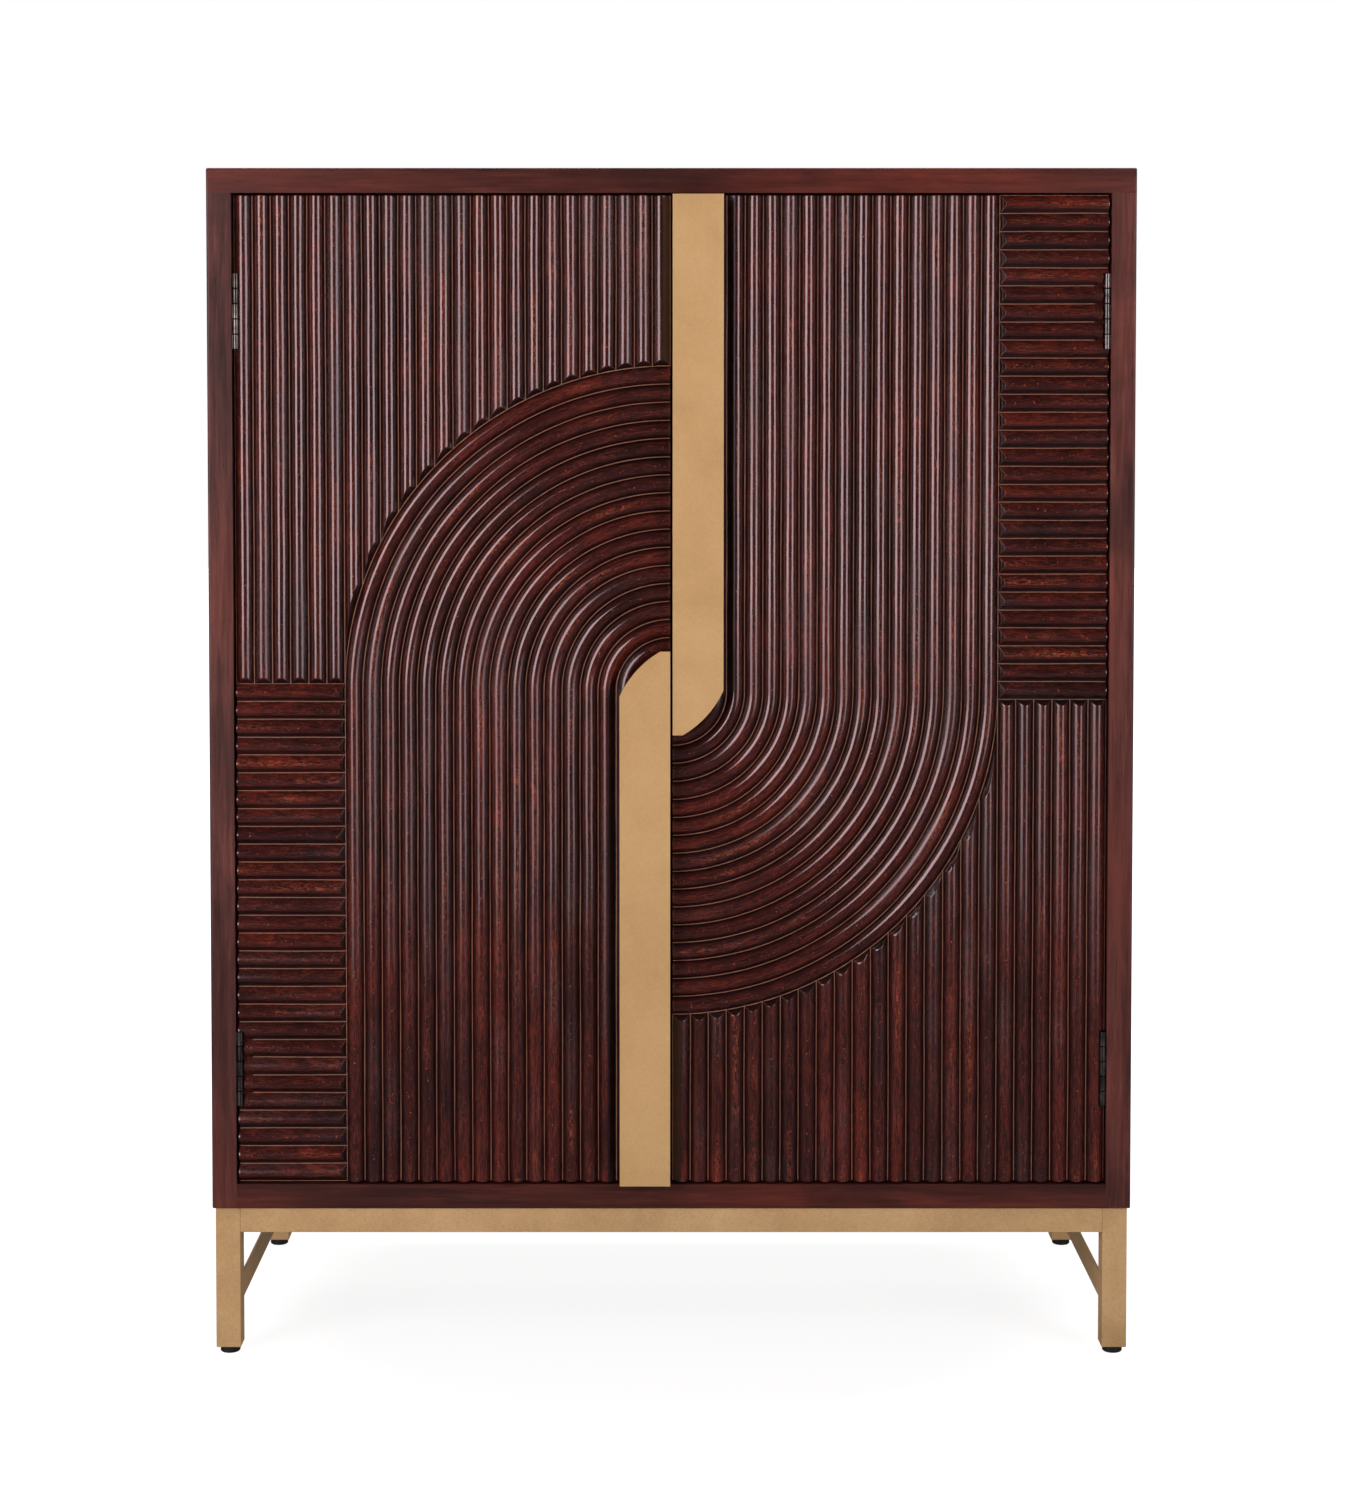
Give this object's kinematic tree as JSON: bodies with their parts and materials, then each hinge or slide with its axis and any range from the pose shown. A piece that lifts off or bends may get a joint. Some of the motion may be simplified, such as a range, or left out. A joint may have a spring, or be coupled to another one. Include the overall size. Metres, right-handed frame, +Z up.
{
  "type": "bar cabinet",
  "caption": "Tall wooden bar cabinet with inset doors carved in a reeded arch, long flat pulls, shelves, a bottle rack, stemware rails and a metal base on levelling feet.",
  "frame": {"origin": "on the floor, under the centre of the overall box", "axes": "+Z up, the doors face -Y, +X to the viewer's right"},
  "size_m": [0.93, 0.415, 1.2],
  "materials": {
    "carcass_wood": "satin stained, straight grain",
    "door_wood": "satin stained",
    "carved_wood": "dark glossy stain, rubbed in the grooves",
    "inside_wood": "satin stained",
    "dowel_wood": "plain",
    "back_board": "stained plywood",
    "gold_metal": "satin gold powder coat",
    "hinge_metal": "dark antique bronze plating",
    "screw_steel": "zinc plated",
    "black_plastic": "moulded, matt"
  },
  "bodies": {
    "cabinet": {"top_panel": "carcass_wood", "bottom_panel": "carcass_wood", "side_panel_left": "carcass_wood", "side_panel_right": "carcass_wood", "back_panel": "back_board", "back_screws": "screw_steel", "carcass_dowels": "dowel_wood", "middle_shelf": "inside_wood", "adjustable_shelf": "inside_wood", "shelf_pins": "screw_steel", "stemware_rails": "inside_wood", "bottle_rack_front": "inside_wood", "bottle_rack_rear": "inside_wood", "rack_screws": "screw_steel", "catches": "black_plastic", "top_screws": "screw_steel", "leg_front_left": "gold_metal", "leg_front_right": "gold_metal", "leg_rear_left": "gold_metal", "leg_rear_right": "gold_metal", "leg_inserts": "black_plastic", "rail_front": "gold_metal", "rail_rear": "gold_metal", "rail_left": "gold_metal", "rail_right": "gold_metal", "stretcher_left": "gold_metal", "stretcher_right": "gold_metal", "base_tabs": "gold_metal", "base_screws": "screw_steel", "hinge_frame_leaves": "hinge_metal", "hinge_pins": "hinge_metal", "hinge_frame_screws": "hinge_metal"},
    "door_left": {"door_left_core": "door_wood", "door_left_arch_ridges": "carved_wood", "door_left_upright_ridges": "carved_wood", "door_left_level_ridges": "carved_wood", "pull_left": "gold_metal", "pull_screws_left": "screw_steel", "hinge_leaves_left": "hinge_metal", "hinge_screws_left": "hinge_metal", "strike_left": "screw_steel", "strike_screw_left": "screw_steel"},
    "door_right": {"door_right_core": "door_wood", "door_right_arch_ridges": "carved_wood", "door_right_upright_ridges": "carved_wood", "door_right_level_ridges": "carved_wood", "pull_right": "gold_metal", "pull_screws_right": "screw_steel", "hinge_leaves_right": "hinge_metal", "hinge_screws_right": "hinge_metal", "strike_right": "screw_steel", "strike_screw_right": "screw_steel"},
    "foot_front_left": {"foot_front_left": "black_plastic"},
    "foot_front_right": {"foot_front_right": "black_plastic"},
    "foot_rear_left": {"foot_rear_left": "black_plastic"},
    "foot_rear_right": {"foot_rear_right": "black_plastic"}
  },
  "joints": [
    {"name": "door_left_hinge", "type": "hinge", "parent": "cabinet", "child": "door_left", "pos_m": [-0.436, -0.1905, 0.675], "axis": [0, 0, -1], "range_deg": [0, 110]},
    {"name": "door_right_hinge", "type": "hinge", "parent": "cabinet", "child": "door_right", "pos_m": [0.436, -0.1905, 0.675], "axis": [0, 0, 1], "range_deg": [0, 110]},
    {"name": "foot_front_left_screw", "type": "slide", "parent": "cabinet", "child": "foot_front_left", "axis": [0, 0, -1], "range_m": [0, 0.008]},
    {"name": "foot_front_right_screw", "type": "slide", "parent": "cabinet", "child": "foot_front_right", "axis": [0, 0, -1], "range_m": [0, 0.008]},
    {"name": "foot_rear_left_screw", "type": "slide", "parent": "cabinet", "child": "foot_rear_left", "axis": [0, 0, -1], "range_m": [0, 0.008]},
    {"name": "foot_rear_right_screw", "type": "slide", "parent": "cabinet", "child": "foot_rear_right", "axis": [0, 0, -1], "range_m": [0, 0.008]}
  ]
}
